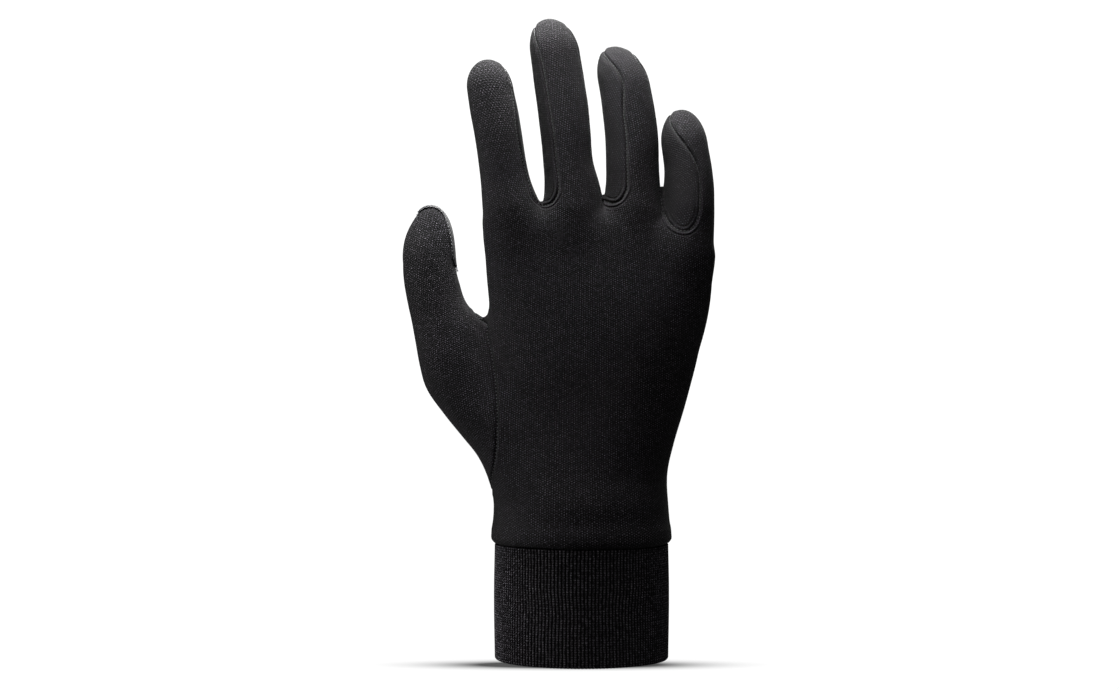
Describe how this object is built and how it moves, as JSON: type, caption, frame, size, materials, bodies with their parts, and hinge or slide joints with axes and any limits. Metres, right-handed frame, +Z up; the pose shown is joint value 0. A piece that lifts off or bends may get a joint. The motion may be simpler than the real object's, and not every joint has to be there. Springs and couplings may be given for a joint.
{
  "type": "glove liner",
  "caption": "Thin knitted glove liner for the right hand, filled out as worn, with fourchettes between the fingers, a rib-knit cuff and a touch patch on the thumb",
  "frame": {"origin": "centre of the cuff's open end, where the wrist goes in", "axes": "+Z up the hand to the fingertips, +X to the little finger's side, -Y out of the back of the hand"},
  "size_m": [0.1255, 0.0548, 0.2586],
  "materials": {
    "body_knit": "matt fine jersey knit, black with a faint warm tint",
    "cuff_rib": "matt black rib knit, doubled over",
    "touch_patch": "slightly lighter and smoother black conductive knit"
  },
  "bodies": {
    "root": {"back_panel": "body_knit", "palm_panel": "body_knit", "thumb_piece": "body_knit", "fourchette_index_middle": "body_knit", "fourchette_middle_ring": "body_knit", "fourchette_ring_little": "body_knit", "rib_cuff": "cuff_rib", "thumb_tip_patch": "touch_patch"}
  },
  "joints": []
}
